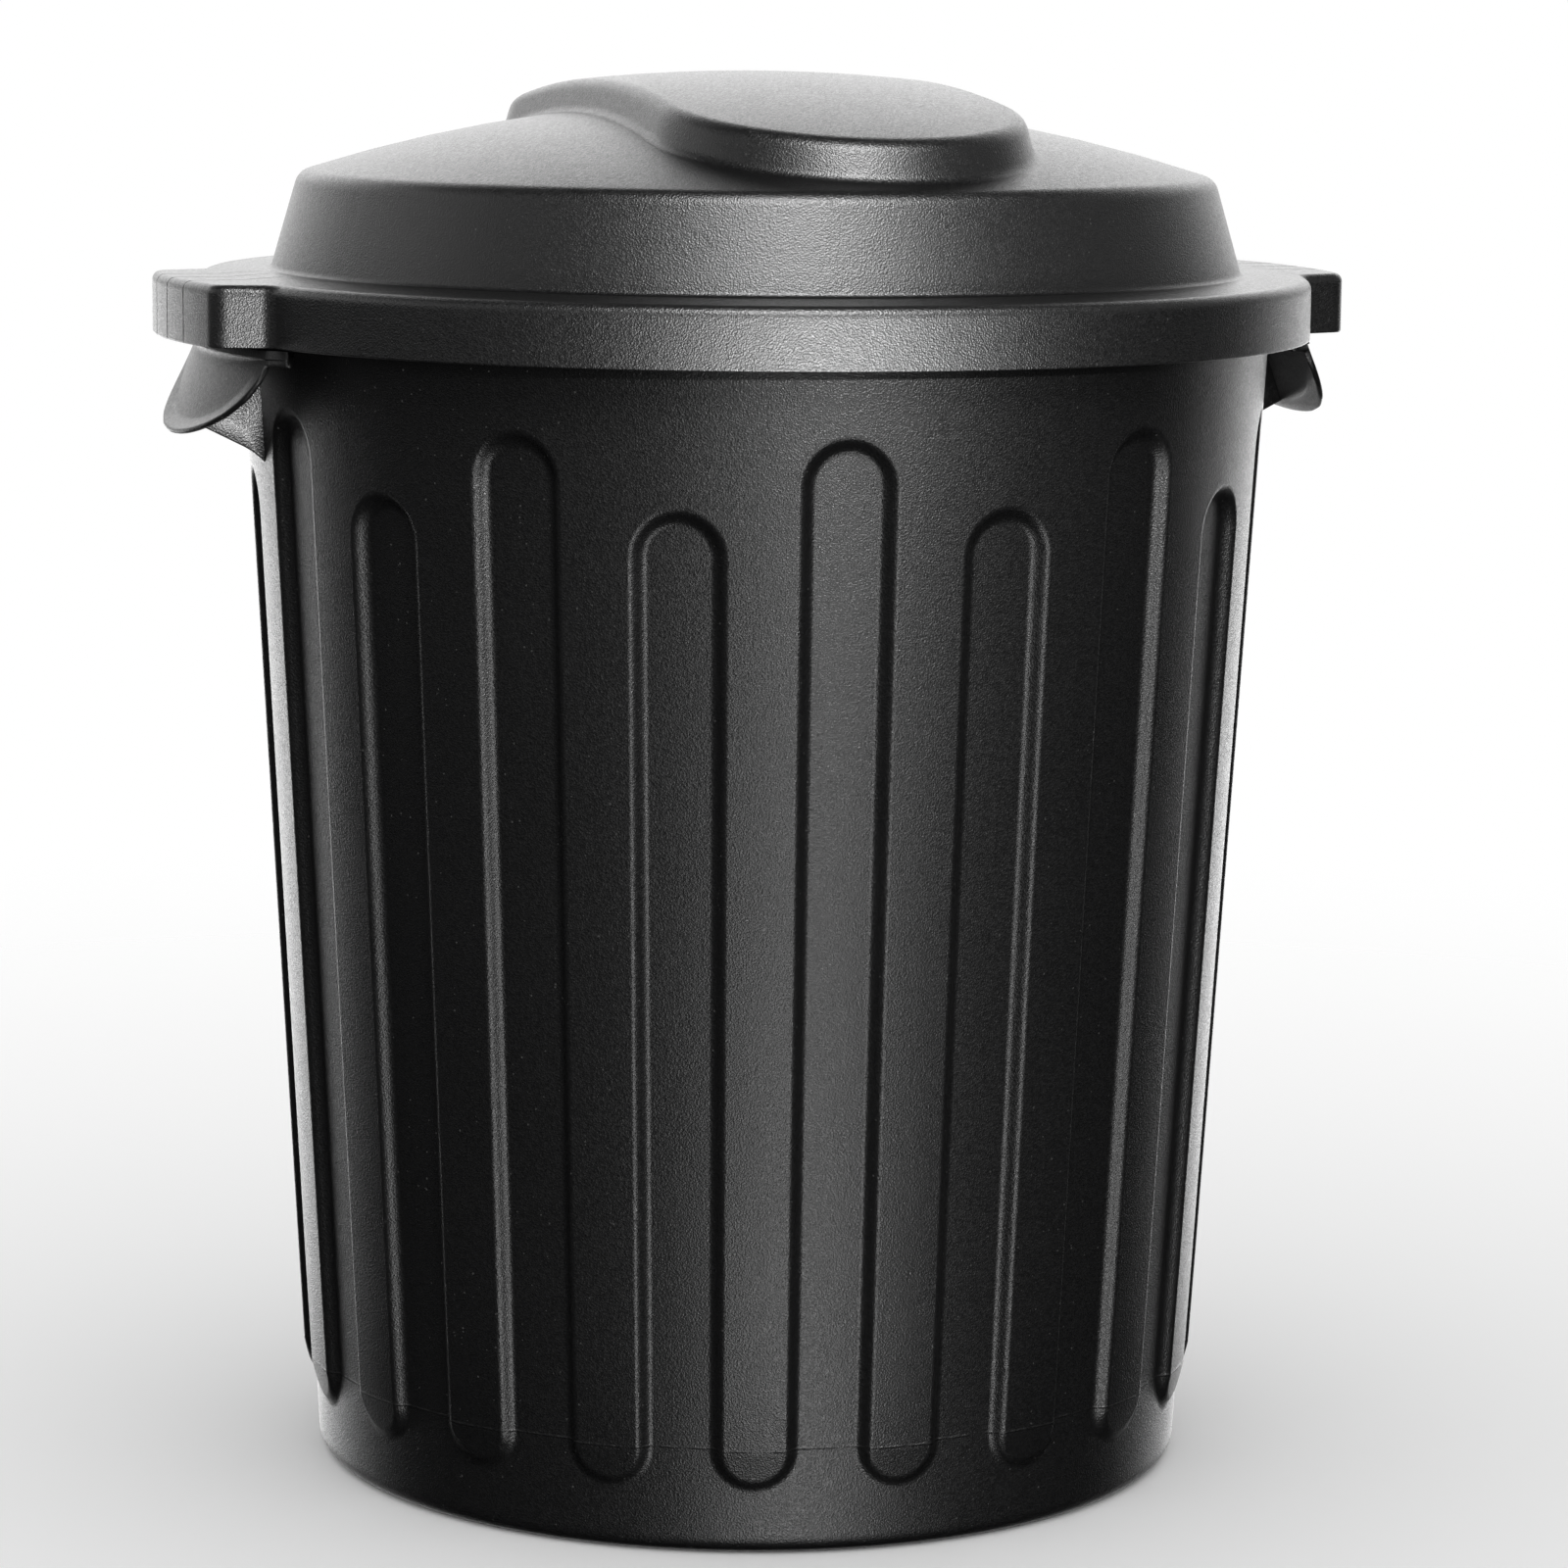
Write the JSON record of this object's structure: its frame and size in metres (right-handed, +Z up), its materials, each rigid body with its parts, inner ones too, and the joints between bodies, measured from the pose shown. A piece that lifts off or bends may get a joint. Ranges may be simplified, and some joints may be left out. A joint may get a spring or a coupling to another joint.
{
  "type": "trash can",
  "caption": "Round black plastic dustbin with a fluted tapered tub, flared carrying handles and a domed lift-off lid with a raised finger grip and lifting tabs.",
  "frame": {"origin": "centre of the tub's foot ring, on the floor", "axes": "+Z up along the tub's axis; X through the two handles and the lid's tabs; Y along the lid's grip"},
  "size_m": [0.508, 0.468, 0.59],
  "materials": {
    "tub_plastic": "moulded, fine spark-eroded texture, satin",
    "handle_plastic": "moulded, smoother than the wall, satin",
    "lid_plastic": "moulded, coarser spark-eroded texture, satin"
  },
  "bodies": {
    "tub": {"tub_base": "tub_plastic", "tub_wall": "tub_plastic", "tub_rim": "tub_plastic", "left_handle": "handle_plastic", "right_handle": "handle_plastic", "left_handle_web": "tub_plastic", "right_handle_web": "tub_plastic"},
    "lid": {"lid_flange": "lid_plastic", "lid_crown": "lid_plastic", "lid_grip": "lid_plastic", "left_lid_tab": "lid_plastic", "right_lid_tab": "lid_plastic"}
  },
  "joints": [
    {"name": "lid_lift", "type": "slide", "parent": "tub", "child": "lid", "axis": [0, 0, 1], "range_m": [0, 0.45]}
  ]
}
